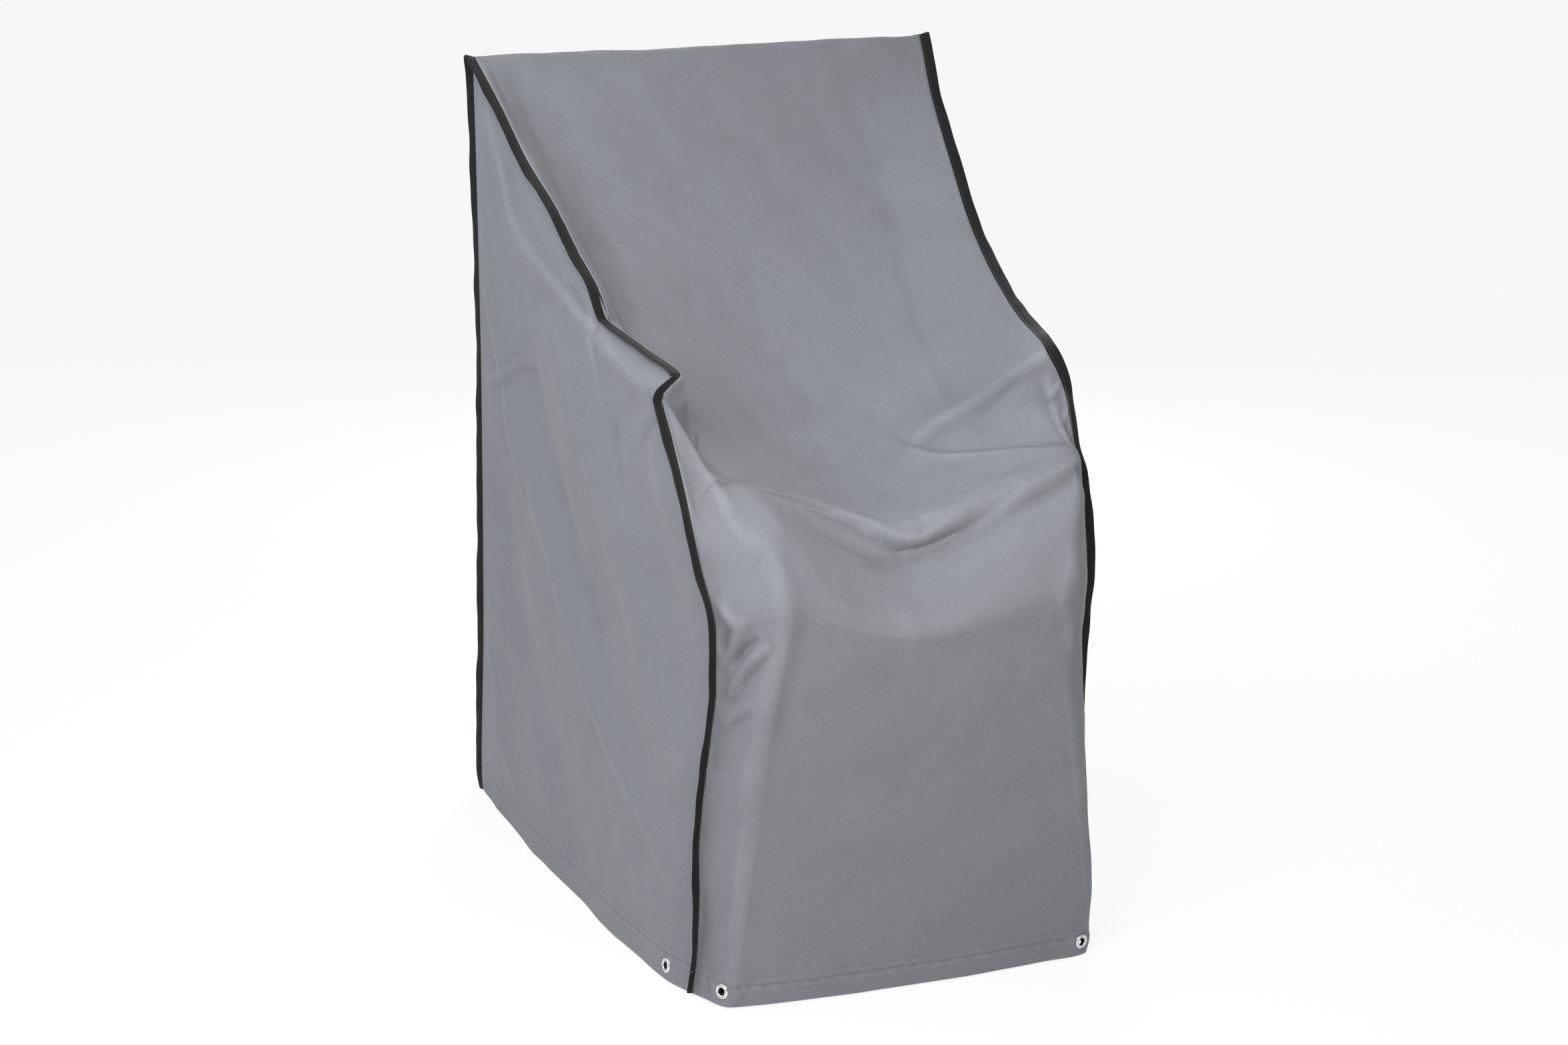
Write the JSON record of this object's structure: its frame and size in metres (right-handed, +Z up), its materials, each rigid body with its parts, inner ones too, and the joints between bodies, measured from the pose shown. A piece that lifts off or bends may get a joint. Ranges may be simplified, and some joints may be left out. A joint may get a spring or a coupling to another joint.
{
  "type": "stacking chair cover",
  "caption": "Fitted cloth cover, hollow, with a sloping back, a low seat and a straight front, bound side seams and an eyeleted hem.",
  "frame": {"origin": "the point under the top, in the middle of its width, where the cover is carried", "axes": "+Z up, -Y towards the front drop, +X to the right seen from the front"},
  "size_m": [0.6827, 0.874, 1.0882],
  "materials": {
    "cloth": "matt coated weave",
    "binding": "black folded tape",
    "eyelet": "nickel plated"
  },
  "bodies": {
    "root": {"main-strip": "cloth", "side-panel-left": "cloth", "side-panel-right": "cloth", "hem-front": "cloth", "hem-left": "cloth", "hem-right": "cloth", "binding-left": "binding", "binding-right": "binding", "eyelet-front-left": "eyelet", "eyelet-front-right": "eyelet", "eyelet-side-left": "eyelet", "eyelet-side-right": "eyelet"}
  },
  "joints": []
}
